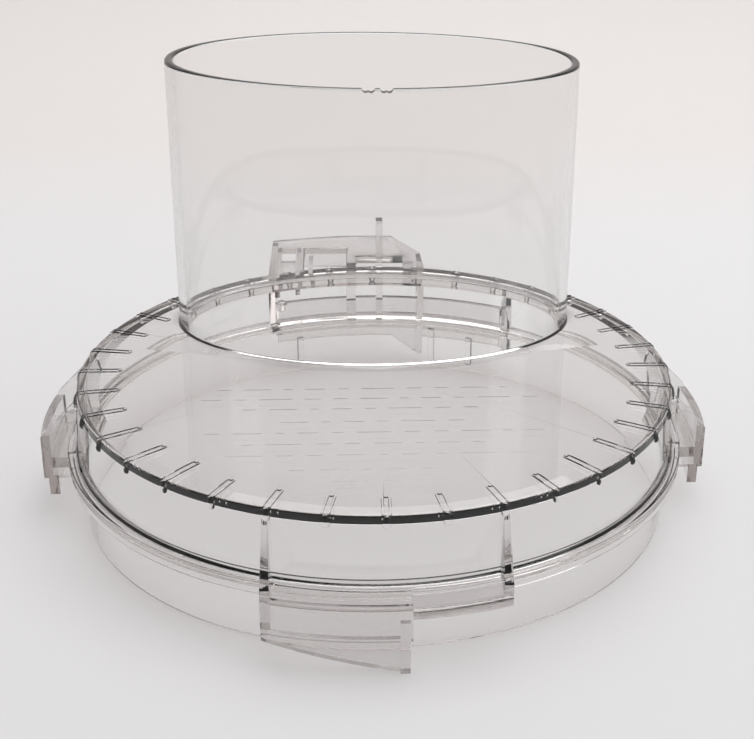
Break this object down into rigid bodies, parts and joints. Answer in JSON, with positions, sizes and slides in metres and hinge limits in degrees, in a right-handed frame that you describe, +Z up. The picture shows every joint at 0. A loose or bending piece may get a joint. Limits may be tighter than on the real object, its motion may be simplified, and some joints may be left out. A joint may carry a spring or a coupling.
{
  "type": "food processor bowl cover",
  "caption": "Round clear plastic food processor bowl cover with a wide oval feed tube, a ribbed rim, locking lugs and a rear handle ear.",
  "frame": {"origin": "on the cover's round axis, at the bottom edge of the skirt that goes into the bowl", "axes": "+Z up along the cover's round axis, out of the feed tube; -Y the front, with the wide front lug; +Y the back, with the handle ear; +X the right side lug"},
  "size_m": [0.234, 0.2595, 0.1469],
  "materials": {
    "clear_cover": "clear glossy moulded plastic with fine wiping scratches and a faint grey tint",
    "clear_tube": "clear glossy moulded plastic, a faint upright weld line and fine scuffs down the wall",
    "clear_lugs": "clear glossy moulded plastic, slightly milky from wear on the locking faces",
    "clear_ear": "clear glossy moulded plastic with a fine satin moulded surface on the ear's top"
  },
  "bodies": {
    "root": {"bowl_skirt": "clear_cover", "cover_plate": "clear_cover", "drum_pip": "clear_cover", "drum_wall": "clear_cover", "ear_block": "clear_ear", "ear_cell_ribs": "clear_ear", "ear_divider": "clear_ear", "ear_left_wall": "clear_ear", "ear_pocket_lip": "clear_ear", "ear_pocket_post": "clear_ear", "ear_right_wall": "clear_ear", "ear_top_plate": "clear_ear", "feed_tube": "clear_tube", "flange_ring": "clear_cover", "front_lug_gussets": "clear_lugs", "front_lug_hook": "clear_lugs", "front_lug_ramp": "clear_lugs", "front_lug_shelf": "clear_lugs", "front_lug_stop": "clear_lugs", "front_lug_web": "clear_lugs", "grip_ribs": "clear_cover", "guide_blade": "clear_ear", "left_lug_gussets": "clear_lugs", "left_lug_hook": "clear_lugs", "left_lug_ramp": "clear_lugs", "left_lug_web": "clear_lugs", "plate_bars": "clear_cover", "rear_lug_gusset": "clear_lugs", "rear_lug_hook_left": "clear_lugs", "rear_lug_hook_right": "clear_lugs", "rear_lug_web_left": "clear_lugs", "rear_lug_web_right": "clear_lugs", "right_lug_gussets": "clear_lugs", "right_lug_hook": "clear_lugs", "right_lug_ramp": "clear_lugs", "right_lug_web": "clear_lugs", "skirt_ribs": "clear_cover", "tube_weld_bead": "clear_tube"}
  },
  "joints": []
}
